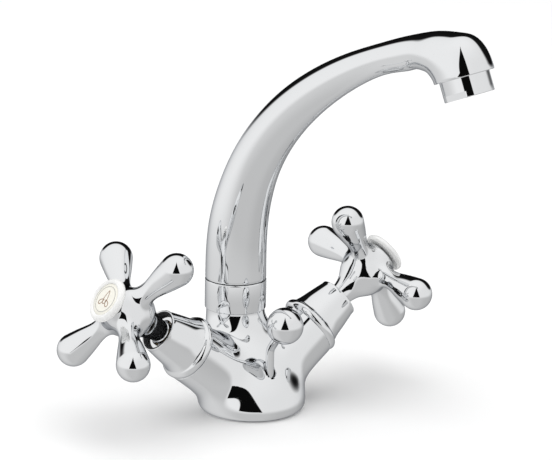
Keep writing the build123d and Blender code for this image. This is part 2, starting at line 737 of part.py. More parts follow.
def make_lift_rod():
    low = Vector(0, ROD_Y, ROD_LOW)
    with BuildPart() as lift_rod:
        with BuildLine():
            FilletPolyline(low, ROD_BEND, KNOB_CENTRE, radius=ROD_BEND_R)
        with BuildSketch(Plane(origin=low)):
            Circle(ROD_R)
        sweep()
    write(lift_rod, "lift_rod")

    with BuildPart() as lift_knob:
        with Locations(KNOB):
            Sphere(KNOB_R)
        ring(KNOB, 0, ROD_R, 0, 2 * KNOB_R, Mode.SUBTRACT)
    write(lift_knob, "lift_knob")


os.makedirs("parts", exist_ok=True)
make_body()
make_base_gasket()
make_rod_bush()
make_spout_nut()
make_swivel_washers()
make_spout()
make_spout_tail()
make_tail_seals()
make_aerator()
for side_name, side_arm in ARMS.items():
    make_valve_discs(side_name, side_arm)
    make_valve_body(side_name, side_arm)
    make_spindle(side_name, side_arm)
    make_spindle_rings(side_name, side_arm)
    make_bonnet(side_name, side_arm)
    make_handle(side_name, side_arm)
    make_handle_screw(side_name, side_arm)
    make_index_cap(side_name, side_arm)
make_lift_rod()
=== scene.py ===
import json
from math import cos, pi, radians, sin

import bmesh
import bpy
import numpy as np
from mathutils import Matrix, Vector


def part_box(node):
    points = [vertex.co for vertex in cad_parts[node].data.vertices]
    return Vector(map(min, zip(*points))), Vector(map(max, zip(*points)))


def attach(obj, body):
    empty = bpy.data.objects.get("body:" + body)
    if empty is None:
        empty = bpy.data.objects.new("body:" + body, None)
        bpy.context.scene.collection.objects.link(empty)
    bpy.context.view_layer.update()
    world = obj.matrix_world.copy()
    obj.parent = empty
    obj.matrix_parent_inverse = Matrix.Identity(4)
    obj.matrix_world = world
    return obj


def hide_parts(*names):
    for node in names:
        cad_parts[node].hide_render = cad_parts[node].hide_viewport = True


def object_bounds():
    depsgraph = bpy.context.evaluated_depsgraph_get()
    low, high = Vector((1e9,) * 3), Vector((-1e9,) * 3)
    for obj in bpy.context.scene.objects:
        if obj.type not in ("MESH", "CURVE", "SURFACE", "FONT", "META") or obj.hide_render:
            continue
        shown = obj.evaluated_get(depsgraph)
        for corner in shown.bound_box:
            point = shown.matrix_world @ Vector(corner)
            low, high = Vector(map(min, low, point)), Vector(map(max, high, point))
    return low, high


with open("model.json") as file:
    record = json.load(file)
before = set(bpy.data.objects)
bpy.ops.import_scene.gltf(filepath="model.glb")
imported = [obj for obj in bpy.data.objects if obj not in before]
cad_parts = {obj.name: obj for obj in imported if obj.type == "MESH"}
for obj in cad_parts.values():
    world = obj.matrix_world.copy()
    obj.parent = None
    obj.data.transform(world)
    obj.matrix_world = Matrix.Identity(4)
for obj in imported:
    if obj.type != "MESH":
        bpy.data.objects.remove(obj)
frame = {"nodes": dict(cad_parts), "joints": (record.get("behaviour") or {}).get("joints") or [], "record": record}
cad_low, cad_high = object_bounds()
MM = 0.001

# ------------------------------------------------------------------ camera
VIEW_AZIMUTH = radians(-34.61)
VIEW_ELEVATION = radians(15.45)
VIEW_DISTANCE = 1.23833
VIEW_LENS = 168.22
VIEW_ROLL = radians(1.14)
VIEW_TARGET = Vector((0, 0, 0.08944))
VIEW_ASIDE = 0.0101
SENSOR_WIDTH = 36


def make_camera():
    a, e = VIEW_AZIMUTH, VIEW_ELEVATION
    back = Vector((sin(a) * cos(e), -cos(a) * cos(e), sin(e)))
    right = Vector((cos(a), sin(a), 0))
    up = back.cross(right)
    across = right * cos(VIEW_ROLL) + up * sin(VIEW_ROLL)
    over = up * cos(VIEW_ROLL) - right * sin(VIEW_ROLL)
    turned = Matrix((across, over, back)).transposed()
    data = bpy.data.cameras.new("camera")
    data.sensor_width = SENSOR_WIDTH
    data.lens = VIEW_LENS
    camera = bpy.data.objects.new("camera", data)
    place = VIEW_TARGET + right * VIEW_ASIDE + back * VIEW_DISTANCE
    camera.matrix_world = Matrix.Translation(place) @ turned.to_4x4()
    bpy.context.scene.collection.objects.link(camera)
    bpy.context.scene.camera = camera


make_camera()


# ------------------------------------------------------------------ node helpers
class Nodes:
    """Short calls for a node tree: math, mixing and noise."""

    def __init__(self, tree):
        self.tree = tree
        self.tree.nodes.clear()

    def new(self, kind, **settings):
        node = self.tree.nodes.new(kind)
        for name, value in settings.items():
            setattr(node, name, value)
        return node

    def put(self, socket, value):
        if isinstance(value, bpy.types.NodeSocket):
            self.tree.links.new(value, socket)
        else:
            socket.default_value = value

    def math(self, operation, *values):
        node = self.new("ShaderNodeMath", operation=operation)
        for socket, value in zip(node.inputs, values):
            self.put(socket, value)
        return node.outputs[0]

    def dot(self, vector, constant):
        node = self.new("ShaderNodeVectorMath", operation="DOT_PRODUCT")
        self.put(node.inputs[0], vector)
        node.inputs[1].default_value = constant
        return node.outputs["Value"]

    def ramp(self, value, low, high, to_low=0.0, to_high=1.0, smooth=True):
        """Value brought from low..high to to_low..to_high, eased at both ends."""
        kind = "SMOOTHSTEP" if smooth else "LINEAR"
        node = self.new("ShaderNodeMapRange", interpolation_type=kind, clamp=True)
        for socket, number in zip(node.inputs, (value, low, high, to_low, to_high)):
            self.put(socket, number)
        return node.outputs[0]

    def blend(self, share, first, second):
        """First where share is 0, second where it is 1: numbers, not colours."""
        node = self.new("ShaderNodeMix", data_type="FLOAT")
        self.put(node.inputs[0], share)
        self.put(node.inputs[2], first)
        self.put(node.inputs[3], second)
        return node.outputs[0]


# ------------------------------------------------------------------ light tent
# angles are in degrees: round from straight ahead of the camera's side, and up from level
TENT = {"left": 1.12, "right": 1.0, "top": 1.14}
TABLE = {"left": 0.86, "right": 0.62, "front": 0.70}
SIDE_REACH = 0.8  # sine of the angle at which a side's own tone is full
TOP_FADE = (25, 80)
FRONT_FADE = (20, 75)
HORIZON = -6.0
HORIZON_FADE = (HORIZON - 14, HORIZON + 3)
GAP_HALF_WIDTH = 24.0  # at the foot of the gap between the tent's walls
GAP_TOP = 74.0
GAP_FOOT = -8.0
GAP_SIDE_FADE = 0.8
GAP_FOOT_FADE = 0.5
GAP_LIGHT = 0.004
ROOM_TURN, ROOM_HALF_WIDTH = 8.0, 62.0
ROOM_RISE, ROOM_HALF_HEIGHT = 22.0, 27.0
ROOM_FADE = (0.75, 1.15)
ROOM_LIGHT = 0.01


def make_world():
    """A light tent: pale walls, a grey table, a dark gap in front and a dark room behind."""
    world = bpy.data.worlds.new("light_tent")
    bpy.context.scene.world = world
    world.use_nodes = True
    n = Nodes(world.node_tree)
    way = n.new("ShaderNodeTexCoord").outputs["Generated"]
    a = VIEW_AZIMUTH
    ahead = n.dot(way, (sin(a), -cos(a), 0))
    aside = n.dot(way, (cos(a), sin(a), 0))
    height = n.dot(way, (0, 0, 1))
    turned = n.math("DEGREES", n.math("ARCTAN2", aside, ahead))
    raised = n.math("DEGREES", n.math("ARCSINE", height))
    off = n.math("ABSOLUTE", turned)

    side = n.ramp(aside, -SIDE_REACH, SIDE_REACH)
    wall = n.blend(side, TENT["left"], TENT["right"])
    wall = n.blend(n.ramp(raised, *TOP_FADE), wall, TENT["top"])
    table = n.blend(side, TABLE["left"], TABLE["right"])
    table = n.blend(n.ramp(off, *FRONT_FADE, 1, 0), table, TABLE["front"])
    light = n.blend(n.ramp(raised, *HORIZON_FADE), table, wall)

    # the gap: a tall triangle straight in front, black
    width = n.ramp(raised, GAP_FOOT, GAP_TOP, GAP_HALF_WIDTH, 0, smooth=False)
    inside = n.ramp(n.math("SUBTRACT", off, width), -GAP_SIDE_FADE, GAP_SIDE_FADE, 1, 0)
    above = n.ramp(raised, GAP_FOOT - GAP_FOOT_FADE, GAP_FOOT + GAP_FOOT_FADE)
    gap = n.math("MULTIPLY", inside, above)
    light = n.blend(gap, light, GAP_LIGHT)

    # the dark room behind the table, an oval
    behind = n.math("DEGREES", n.math("ARCTAN2", aside, n.math("MULTIPLY", ahead, -1.0)))
    from_back = n.math("DIVIDE", n.math("SUBTRACT", behind, ROOM_TURN), ROOM_HALF_WIDTH)
    from_middle = n.math("DIVIDE", n.math("SUBTRACT", raised, ROOM_RISE), ROOM_HALF_HEIGHT)
    spread = n.math("ADD", n.math("MULTIPLY", from_back, from_back),
                    n.math("MULTIPLY", from_middle, from_middle))
    light = n.blend(n.ramp(spread, *ROOM_FADE, 1, 0), light, ROOM_LIGHT)

    background = n.new("ShaderNodeBackground")
    n.put(background.inputs["Strength"], light)
    output = n.new("ShaderNodeOutputWorld")
    n.tree.links.new(background.outputs[0], output.inputs[0])


make_world()


# ------------------------------------------------------------------ floor and lamp
FLOOR_RADIUS = 6.0
FLOOR_SIDES = 96
FLOOR_GAP = 0.0001  # below the foot
FLOOR_COLOUR = (0.93, 0.93, 0.93, 1)


def make_floor():
    """A wide pale disc. Mirrors see the tent's table instead."""
    mesh = bpy.data.meshes.new("floor")
    shape = bmesh.new()
    bmesh.ops.create_circle(shape, cap_ends=True, segments=FLOOR_SIDES, radius=FLOOR_RADIUS)
    shape.to_mesh(mesh)
    shape.free()
    floor = bpy.data.objects.new("floor", mesh)
    floor.location.z = cad_low.z - FLOOR_GAP
    floor.visible_glossy = False
    bpy.context.scene.collection.objects.link(floor)
    material = bpy.data.materials.new("floor")
    material.use_nodes = True
    n = Nodes(material.node_tree)
    shader = n.new("ShaderNodeBsdfDiffuse")
    shader.inputs["Color"].default_value = FLOOR_COLOUR
    n.tree.links.new(shader.outputs[0], n.new("ShaderNodeOutputMaterial").inputs[0])
    mesh.materials.append(material)


def make_lamp(name, place, size, power):
    """An area lamp aimed at the origin that lights the scene but isn't mirrored in it."""
    data = bpy.data.lights.new(name, "AREA")
    data.shape = "RECTANGLE"
    data.size, data.size_y = size
    data.energy = power
    lamp = bpy.data.objects.new(name, data)
    lamp.location = place
    lamp.rotation_euler = (-Vector(place)).to_track_quat("-Z", "Y").to_euler()
    lamp.visible_glossy = False
    bpy.context.scene.collection.objects.link(lamp)


make_floor()
make_lamp("overhead_softbox", place=(-0.1, 0.1, 2.2), size=(3.0, 3.0), power=36)
bpy.context.scene.view_settings.view_transform = "Standard"


# ------------------------------------------------------------------ materials
GRAIN_DETAIL = 3.0
GRAIN_MIDDLE = (0.3, 0.7)  # share of the noise that carries the roughness from low to high
EVEN = (1, 1, 1)
TURNED = (1, 1, 6)
# colour, metallic, noise scale, its stretch, lowest and highest roughness, bump height in metres
FINISHES = {
    "chrome": ((0.90, 0.91, 0.92), 1.0, 60, EVEN, (0.015, 0.05), 0.00001),
    "brass": ((0.78, 0.60, 0.32), 1.0, 900, TURNED, (0.22, 0.36), 0.00002),
    "steel": ((0.60, 0.60, 0.61), 1.0, 1200, EVEN, (0.25, 0.4), 0.00002),
    "rubber": ((0.02, 0.02, 0.022), 0.0, 1500, EVEN, (0.55, 0.75), 0.00003),
    "ceramic": ((0.88, 0.86, 0.80), 0.0, 700, EVEN, (0.18, 0.3), 0.00001),
    "white_enamel": ((0.86, 0.86, 0.85), 0.0, 120, EVEN, (0.10, 0.2), 0.00001),
    "cream_disc": ((0.87, 0.85, 0.77), 0.0, 300, EVEN, (0.15, 0.28), 0.00001),
    "white_plastic": ((0.82, 0.82, 0.8), 0.0, 900, EVEN, (0.45, 0.6), 0.00003),
    "index_line": ((0.42, 0.42, 0.40), 0.0, 900, EVEN, (0.3, 0.4), 0.00001),
    "hot_mark": ((0.30, 0.17, 0.10), 0.0, 900, EVEN, (0.3, 0.4), 0.00001),
    "cold_mark": ((0.13, 0.16, 0.24), 0.0, 900, EVEN, (0.3, 0.4), 0.00001),
    "grey_plastic": ((0.6, 0.61, 0.62), 0.0, 900, EVEN, (0.4, 0.55), 0.00003),
}
CHROME_EDGE_TINT = (0.45, 0.46, 0.48, 1)


def principled(name, colour, metallic):
    """A material with its shader, and the node helper to go on with."""
    material = bpy.data.materials.new(name)
    material.use_nodes = True
    n = Nodes(material.node_tree)
    shader = n.new("ShaderNodeBsdfPrincipled")
    shader.inputs["Base Color"].default_value = (*colour, 1)
    shader.inputs["Metallic"].default_value = metallic
    n.tree.links.new(shader.outputs[0], n.new("ShaderNodeOutputMaterial").inputs[0])
    return material, n, shader


def grain(n, shader, scale, stretch, rough, height):
    """Noise in the piece's own coordinates that varies its roughness and lifts its surface."""
    place = n.new("ShaderNodeTexCoord").outputs["Object"]
    mapping = n.new("ShaderNodeMapping")
    n.put(mapping.inputs["Vector"], place)
    mapping.inputs["Scale"].default_value = stretch
    noise = n.new("ShaderNodeTexNoise")
    noise.inputs["Scale"].default_value = scale
    noise.inputs["Detail"].default_value = GRAIN_DETAIL
    n.put(noise.inputs["Vector"], mapping.outputs[0])
    n.put(shader.inputs["Roughness"], n.ramp(noise.outputs["Fac"], *GRAIN_MIDDLE, *rough))
    bump = n.new("ShaderNodeBump")
    bump.inputs["Strength"].default_value = 1.0
    bump.inputs["Distance"].default_value = height
    n.put(bump.inputs["Height"], noise.outputs["Fac"])
    n.put(shader.inputs["Normal"], bump.outputs[0])


def make_materials():
    made = {}
    for name, (colour, metallic, *noise) in FINISHES.items():
        made[name], n, shader = principled(name, colour, metallic)
        if name == "chrome":
            shader.inputs["Specular Tint"].default_value = CHROME_EDGE_TINT
        grain(n, shader, *noise)
    return made


MATERIALS = make_materials()
SLOTS = {row["node"]: row["material_slot"] for row in frame["record"]["subparts"]}
for node, item in frame["nodes"].items():
    item.data.materials.clear()
    item.data.materials.append(MATERIALS[SLOTS[node]])


# ------------------------------------------------------------------ shapes, in millimetres
WELD = 1e-7  # metres
PULL_ROUNDS = 7
FURTHEST_PULL = 1.5
LEAST_SLOPE = 0.05  # squared


def curve(points, count, knots=None):
    """Natural cubic spline through the points, stepped evenly along its knots."""
    p = np.array(points, float)
    if knots is None:
        knots = np.concatenate(([0], np.cumsum(np.linalg.norm(np.diff(p, axis=0), axis=1))))
    h = np.diff(knots)
    last = len(p) - 1
    system = np.eye(last + 1)
    pull = np.zeros_like(p)
    for i in range(1, last):
        system[i, i - 1:i + 2] = h[i - 1], 2 * (h[i - 1] + h[i]), h[i]
        pull[i] = 6 * ((p[i + 1] - p[i]) / h[i] - (p[i] - p[i - 1]) / h[i - 1])
    bent = np.linalg.solve(system, pull)
    at = np.linspace(knots[0], knots[-1], count)
    k = np.clip(np.searchsorted(knots, at) - 1, 0, last - 1)
    width = h[k][:, None]
    ahead = (knots[k + 1] - at)[:, None] / width
    gone = 1 - ahead
    bow = ((ahead**3 - ahead) * bent[k] + (gone**3 - gone) * bent[k + 1]) * width**2 / 6
    return ahead * p[k] + gone * p[k + 1] + bow


def corner(centre, radius, start, end, count=7):
    """Arc in a turned outline, angles in degrees."""
    turned = np.radians(np.linspace(start, end, count))
    across = centre[0] + radius * np.cos(turned)
    return [tuple(pair) for pair in zip(across, centre[1] + radius * np.sin(turned))]


class Axis:
    """A piece's own frame: x and y square to its axis and z along it."""

    def __init__(self, origin, along, up):
        self.origin = np.array(origin, float)
        self.z = np.array(along, float) / np.linalg.norm(along)
        up = np.array(up, float)
        up = up - self.z * (up @ self.z)
        self.x = up / np.linalg.norm(up)
        self.y = np.cross(self.z, self.x)

    def out(self, local):
        """Local coordinates to the shared frame."""
        return self.origin + local @ np.array((self.x, self.y, self.z))

    def into(self, points):
        """The shared frame's coordinates to local ones."""
        return (points - self.origin) @ np.array((self.x, self.y, self.z)).T


UPRIGHT = Axis((0, 0, 0), (0, 0, 1), (1, 0, 0))


def skin(rings, loop=False):
    """Vertices and faces that join rings of equally many points, with closed ends or in a loop."""
    rings = np.array(rings, float)
    count, around = rings.shape[:2]
    faces = []
    for i in range(count if loop else count - 1):
        low, high = i * around, (i + 1) % count * around
        for j in range(around):
            following = (j + 1) % around
            faces.append((low + j, low + following, high + following, high + j))
    if not loop:
        faces.append(tuple(reversed(range(around))))
        faces.append(tuple(range((count - 1) * around, count * around)))
    return rings.reshape(-1, 3), faces


def turned_rings(outline, around=144):
    """Rings of an outline of (radius, along) pairs turned about z."""
    angles = np.linspace(0, 2 * pi, around, endpoint=False)
    return [
        np.stack((r * np.cos(angles), r * np.sin(angles), np.full(around, z)), axis=1)
        for r, z in outline
    ]


def add_mesh(name, points, faces, creases=35):
    """Object from points in millimetres, smooth but for edges sharper than the angle given."""
    shape = bmesh.new()
    corners = [shape.verts.new(point) for point in points * MM]
    for face in faces:
        shape.faces.new([corners[i] for i in face])
    bmesh.ops.remove_doubles(shape, verts=shape.verts, dist=WELD)
    bmesh.ops.dissolve_degenerate(shape, edges=shape.edges, dist=WELD)
    bmesh.ops.recalc_face_normals(shape, faces=shape.faces)
    for face in shape.faces:
        face.smooth = True
    for edge in shape.edges:
        edge.smooth = edge.calc_face_angle(0) < radians(creases)
    mesh = bpy.data.meshes.new(name)
    shape.to_mesh(mesh)
    shape.free()
    piece = bpy.data.objects.new(name, mesh)
    bpy.context.scene.collection.objects.link(piece)
    return piece


def settle(piece, node, body, finish=None):
    """Give a new piece its finish and body, and let it stand for a CAD node if one is named."""
    finish = finish or SLOTS[node]
    piece.data.materials.clear()
    piece.data.materials.append(MATERIALS[finish])
    if node:
        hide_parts(node)
    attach(piece, body)


def soft_min(values, width):
    """The least of several fields, rounded where they meet."""
    least = np.min(values, axis=0)
    return least - width * np.log(sum(np.exp((least - v) / width) for v in values))


def slopes(points, field, step=0.002):
    """Gradient of a field by central differences."""
    out = np.empty_like(points)
    for k in range(3):
        aside = np.zeros(3)
        aside[k] = step
        out[:, k] = (field(points + aside) - field(points - aside)) / (2 * step)
    return out


def grow(name, blocks, field, voxel, axis, cutters=()):
    """Fuse rough closed blocks, then bring every vertex onto the surface where the field is 0."""
    shape = bmesh.new()
    for points, faces in blocks:
        corners = [shape.verts.new(point) for point in points]
        for face in faces:
            shape.faces.new([corners[i] for i in face])
    bmesh.ops.recalc_face_normals(shape, faces=shape.faces)
    rough = bpy.data.meshes.new(name + "_rough")
    shape.to_mesh(rough)
    shape.free()
    blank = bpy.data.objects.new(name + "_rough", rough)
    bpy.context.scene.collection.objects.link(blank)
    blank.modifiers.new("fuse", "REMESH").voxel_size = voxel
    tools = []
    for points, faces in cutters:
        tool = add_mesh(name + "_cutter", points / MM, faces)
        tools.append(tool)
        cut = blank.modifiers.new("cut", "BOOLEAN")
        cut.operation = "DIFFERENCE"
        cut.object = tool
    if tools:
        blank.modifiers.new("refuse", "REMESH").voxel_size = voxel
    fused = blank.evaluated_get(bpy.context.evaluated_depsgraph_get())
    mesh = bpy.data.meshes.new_from_object(fused)
    for item in [blank, *tools]:
        bpy.data.objects.remove(item)
    points = np.empty(len(mesh.vertices) * 3)
    mesh.vertices.foreach_get("co", points)
    points = points.reshape(-1, 3)
    for _ in range(PULL_ROUNDS):
        slope = slopes(points, field)
        steep = np.maximum((slope**2).sum(axis=1), LEAST_SLOPE)
        move = (field(points) / steep)[:, None] * slope
        reach = np.linalg.norm(move, axis=1, keepdims=True)
        points = points - move * np.minimum(1, FURTHEST_PULL / np.maximum(reach, 1e-9))
    slope = slopes(points, field)
    normals = slope / np.linalg.norm(slope, axis=1, keepdims=True)
    turned = normals @ np.array((axis.x, axis.y, axis.z))
    mesh.vertices.foreach_set("co", (axis.out(points) * MM).ravel())
    mesh.polygons.foreach_set("use_smooth", [True] * len(mesh.polygons))
    mesh.update()
    mesh.normals_split_custom_set_from_vertices(turned.tolist())
    piece = bpy.data.objects.new(name, mesh)
    bpy.context.scene.collection.objects.link(piece)
    return piece


# ------------------------------------------------------------------ where things are
JOINTS = {row["name"]: row for row in frame["joints"]}


def middle(node):
    """Middle of a CAD node's box, in millimetres."""
    low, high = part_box(node)
    return np.array((low + high) / 2) / MM


def span(node):
    """Lowest and highest corner of a CAD node's box, in millimetres."""
    low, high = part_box(node)
    return np.array(low) / MM, np.array(high) / MM


ARMS = {}
for side in ("hot", "cold"):
    joint = JOINTS[side + "_turn"]
    ARMS[side] = Axis(np.array(joint["pos_m"]) / MM, joint["axis"], (0, 0, 1))
COLUMN_CENTRE = middle("spout_nut")[:2]
COLUMN = Axis((*COLUMN_CENTRE, 0), (0, 0, 1), (1, 0, 0))
ROD_CENTRE = middle("rod_bush")[:2]
KNOB_CENTRE = middle("lift_knob")
NUT_LOW, NUT_TOP = span("spout_nut")[0][2], span("spout_nut")[1][2]
SPOUT_BASE = span("spout")[0][2]
outward = middle("aerator_housing") - (*COLUMN_CENTRE, 0)
FORWARD = np.array((outward[0], outward[1], 0)) / np.hypot(outward[0], outward[1])
SIDEWAYS = np.array((-FORWARD[1], FORWARD[0], 0))

# ------------------------------------------------------------------ cast body
FOOT_R = 25.8
FOOT_EDGE = 3.5
FOOT_TOP = 4.2
COLUMN_R = 14.2
ARM_R = 15.0
ARM_START = 4.0
ARM_END = 42.0
ARM_SAG = (0.7, 3.6)  # how far the arm's middle hangs below its axis, at its end and at its root
COLUMN_TOP = NUT_LOW - 0.1  # where the wall has drawn in to the column's radius
BODY_TOP = NUT_LOW + 0.6
ROD_HOLE_R = 2.7
ROD_HOLE_FLOOR = 17.0
CAST_BLEND = 2.9
HOLE_BLEND = 0.25
BODY_VOXEL = 0.6


def trunk_at(height):
    """Radius and set-back of the body's round section at a height."""
    share = np.clip((height - FOOT_TOP) / (COLUMN_TOP - FOOT_TOP), 0, 1)
    eased = share * share * (3 - 2 * share)
    return FOOT_R + (COLUMN_R - FOOT_R) * eased, COLUMN_CENTRE[1] * eased


def body_field(p):
    """Rough distance outside the casting: foot and column and two arms, less the rod's hole."""
    x, y, z = p.T
    radius, back = trunk_at(z)
    wall = np.hypot(x, y - back) - radius + FOOT_EDGE
    floor = FOOT_EDGE - z
    rounded = np.hypot(np.maximum(wall, 0), np.maximum(floor, 0))
    trunk = rounded + np.minimum(np.maximum(wall, floor), 0) - FOOT_EDGE
    parts = [np.maximum(trunk, z - BODY_TOP)]
    for arm in ARMS.values():
        u, v, along = arm.into(p).T
        sag = np.interp(along, (0, ARM_END), (ARM_SAG[1], ARM_SAG[0]))
        tube = np.maximum(np.hypot(u + sag, v) - ARM_R, -along)
        parts.append(np.maximum(tube, along - ARM_END))
    cast = soft_min(parts, CAST_BLEND)
    hole = np.hypot(x - ROD_CENTRE[0], y - ROD_CENTRE[1]) - ROD_HOLE_R
    hole = np.maximum(hole, ROD_HOLE_FLOOR - z)
    cast = -soft_min([-cast, hole], HOLE_BLEND)
    return np.maximum(cast, -z)


def make_body():
    trunk = []
    for height in np.linspace(0, BODY_TOP, 24):
        radius, back = trunk_at(height)
        ring = turned_rings([(radius, height)], 96)[0]
        trunk.append(ring + (0, back, 0))
    blocks = [skin(trunk)]
    for arm in ARMS.values():
        points, faces = skin(turned_rings([(ARM_R, ARM_START), (ARM_R, ARM_END)], 96))
        blocks.append((arm.out(points), faces))
    hole, faces = skin(turned_rings([(ROD_HOLE_R, ROD_HOLE_FLOOR), (ROD_HOLE_R, NUT_LOW)], 64))
    cutter = (hole + (*ROD_CENTRE, 0), faces)
    piece = grow("cast_body", blocks, body_field, BODY_VOXEL, UPRIGHT, [cutter])
    settle(piece, "faucet_body", "mixer_body")


make_body()


# ------------------------------------------------------------------ spout
# reach, height, radius and rise of the tube's axis
SPOUT_TUBE = (
    (0.0, SPOUT_BASE + 0.5, 14.9, 90.0),
    (0.0, 72.0, 14.8, 90.0),
    (1.3, 90.0, 14.3, 83.0),
    (4.9, 105.0, 13.4, 72.5),
    (11.0, 120.5, 12.4, 62.5),
    (20.5, 136.0, 11.5, 53.5),
    (33.5, 150.7, 10.6, 44.0),
    (50.0, 164.1, 9.4, 35.5),
    (68.5, 175.2, 8.0, 27.0),
    (86.5, 182.9, 7.4, 20.0),
    (97.0, 186.2, 7.9, 13.0),
)
# where the tube swells into the head: reach and height of the top and of the underside, half width
SPOUT_NECK = (
    (105.5, 197.0, 103.6, 179.9, 9.0),
    (114.5, 198.9, 108.4, 179.6, 11.0),
)
# head: angle round the dome, reach and height of the underside, half width
SPOUT_HEAD = (
    (12.0, 111.2, 178.7, 12.5),
    (34.0, 112.9, 177.3, 13.3),
    (56.0, 113.9, 176.3, 13.8),
    (74.0, 114.4, 175.6, 14.0),
    (88.0, 114.7, 175.1, 14.1),
)
HEAD_R = 14.1
HEAD_RISE = 19.8
DOME_FULLNESS = 0.83
OUTLET_TILT = radians(21.4)
MOUTH = np.array((127.8, 179.9))
OUTLET_DOWN = np.array((sin(OUTLET_TILT), -cos(OUTLET_TILT)))
OUTLET_OUT = np.array((cos(OUTLET_TILT), sin(OUTLET_TILT)))
OUTLET_BORE_R = 12.05
# turned-in foot of the spout, on the nut: radius and height
SPOUT_FOOT = (
    (11.2, SPOUT_BASE + 8),
    (11.2, SPOUT_BASE),
    (14.3, SPOUT_BASE),
    (14.75, SPOUT_BASE + 0.15),
)
# rounded edge and bore of the outlet: radius and distance past the mouth
SPOUT_LIP = (
    (HEAD_R - 0.1, -0.25),
    (HEAD_R - 0.35, 0),
    (OUTLET_BORE_R, 0),
    (OUTLET_BORE_R, -9),
)
SPOUT_RINGS = 260
SPOUT_SIDES = 120


def in_profile(pair):
    """Point of the spout's profile (reach, height) in the shared frame."""
    return np.array((*COLUMN_CENTRE, 0)) + FORWARD * pair[0] + np.array((0, 0, pair[1]))


OUTLET = Axis(
    in_profile(MOUTH),
    FORWARD * OUTLET_DOWN[0] + np.array((0, 0, OUTLET_DOWN[1])),
    SIDEWAYS,
)


def make_spout():
    """Rings across the spout's profile, from its foot on the nut to the outlet."""
    rows = []
    for reach, height, radius, slope in SPOUT_TUBE:
        lean = np.array((-sin(radians(slope)), cos(radians(slope)))) * radius
        rows.append((*((reach, height) + lean), *((reach, height) - lean), radius))
    rows += SPOUT_NECK
    for turned, reach, height, half in SPOUT_HEAD:
        across = HEAD_R * sin(radians(turned)) ** DOME_FULLNESS
        above = -HEAD_RISE * cos(radians(turned)) ** DOME_FULLNESS
        rows.append((*(MOUTH + OUTLET_OUT * across + OUTLET_DOWN * above), reach, height, half))
    rows = np.array(rows)
    steps = np.diff(rows, axis=0)
    chord = (np.hypot(steps[:, 0], steps[:, 1]) + np.hypot(steps[:, 2], steps[:, 3])) / 2
    rows = curve(rows, SPOUT_RINGS, np.concatenate(([0], np.cumsum(chord))))
    angles = np.linspace(0, 2 * pi, SPOUT_SIDES, endpoint=False)
    rings = []
    for radius, height in SPOUT_FOOT:
        ring = in_profile((0, height)) + radius * np.outer(np.cos(angles), -FORWARD)
        rings.append(ring + radius * np.outer(np.sin(angles), SIDEWAYS))
    for top_reach, top_height, low_reach, low_height, half in rows:
        top, low = in_profile((top_reach, top_height)), in_profile((low_reach, low_height))
        ring = (top + low) / 2 + np.outer(np.cos(angles), (top - low) / 2)
        rings.append(ring + half * np.outer(np.sin(angles), SIDEWAYS))
    upward = in_profile(MOUTH + OUTLET_OUT) - in_profile(MOUTH)
    for radius, along in SPOUT_LIP:
        ring = OUTLET.origin + OUTLET.z * along + radius * np.outer(np.cos(angles), upward)
        rings.append(ring + radius * np.outer(np.sin(angles), SIDEWAYS))
    settle(add_mesh("swan_neck", *skin(rings)), "spout", "spout_assembly")


make_spout()


# ------------------------------------------------------------------ nut and aerator
NUT_R = 15.0
NUT_BORE_R = 12.95
NUT_LOW_ROUND = 0.5
NUT_TOP_ROUND = 0.6
NUT_FLANGE_BORE_R = 11.3
NUT_FLANGE = 1.4

# distances are along the outlet's axis, past the mouth
SKIRT_R = 11.6
SKIRT_DROP = 9.2
SKIRT_ROUND = 0.35
SKIRT_BORE_R = 9.4
SKIRT_BORE_CHAMFER = 0.4
THREAD_R = 12.0
THREAD_TOP = -7.0
THREAD_END = -0.3
SKIRT_START = 0.1
FLATS_HALF_WIDTH = 10.2
FLATS_START = 6.3
FLATS_STEP = 0.02
SKIRT_SIDES = 180
SKIRT_CREASES = 25  # degrees


def turned_piece(name, axis, outline, node, body, around=144, finish=None, loop=True):
    """A turned piece about an axis that stands for a CAD node, or for none."""
    points, faces = skin(turned_rings(outline, around), loop)
    settle(add_mesh(name, axis.out(points), faces), node, body, finish)


def make_nut():
    low = (NUT_R - NUT_LOW_ROUND, NUT_LOW + NUT_LOW_ROUND)
    top = (NUT_R - NUT_TOP_ROUND, NUT_TOP - NUT_TOP_ROUND)
    outline = [(NUT_BORE_R, NUT_LOW)]
    outline += corner(low, NUT_LOW_ROUND, -90, 0)
    outline += corner(top, NUT_TOP_ROUND, 0, 90)
    outline.append((NUT_FLANGE_BORE_R, NUT_TOP))
    outline.append((NUT_FLANGE_BORE_R, NUT_TOP - NUT_FLANGE))
    outline.append((NUT_BORE_R, NUT_TOP - NUT_FLANGE))
    turned_piece("collar_nut", COLUMN, outline, "spout_nut", "mixer_body")


def make_aerator():
    """The aerator's skirt, flattened on two sides near its lower edge."""
    edge = (SKIRT_R - SKIRT_ROUND, SKIRT_DROP - SKIRT_ROUND)
    outline = [
        (SKIRT_BORE_R, THREAD_TOP),
        (THREAD_R, THREAD_TOP),
        (THREAD_R, THREAD_END),
        (SKIRT_R, SKIRT_START),
        (SKIRT_R, FLATS_START),
        (SKIRT_R, FLATS_START + FLATS_STEP),
    ]
    outline += corner(edge, SKIRT_ROUND, 0, 90)
    outline.append((SKIRT_BORE_R + SKIRT_BORE_CHAMFER, SKIRT_DROP))
    outline.append((SKIRT_BORE_R, SKIRT_DROP - SKIRT_BORE_CHAMFER))
    points, faces = skin(turned_rings(outline, SKIRT_SIDES), True)
    cut = points[:, 2] > FLATS_START + FLATS_STEP / 2
    points[cut, 0] = np.clip(points[cut, 0], -FLATS_HALF_WIDTH, FLATS_HALF_WIDTH)
    piece = add_mesh("aerator_shell", OUTLET.out(points), faces, SKIRT_CREASES)
    settle(piece, "aerator_housing", "spout_assembly")


make_nut()
make_aerator()


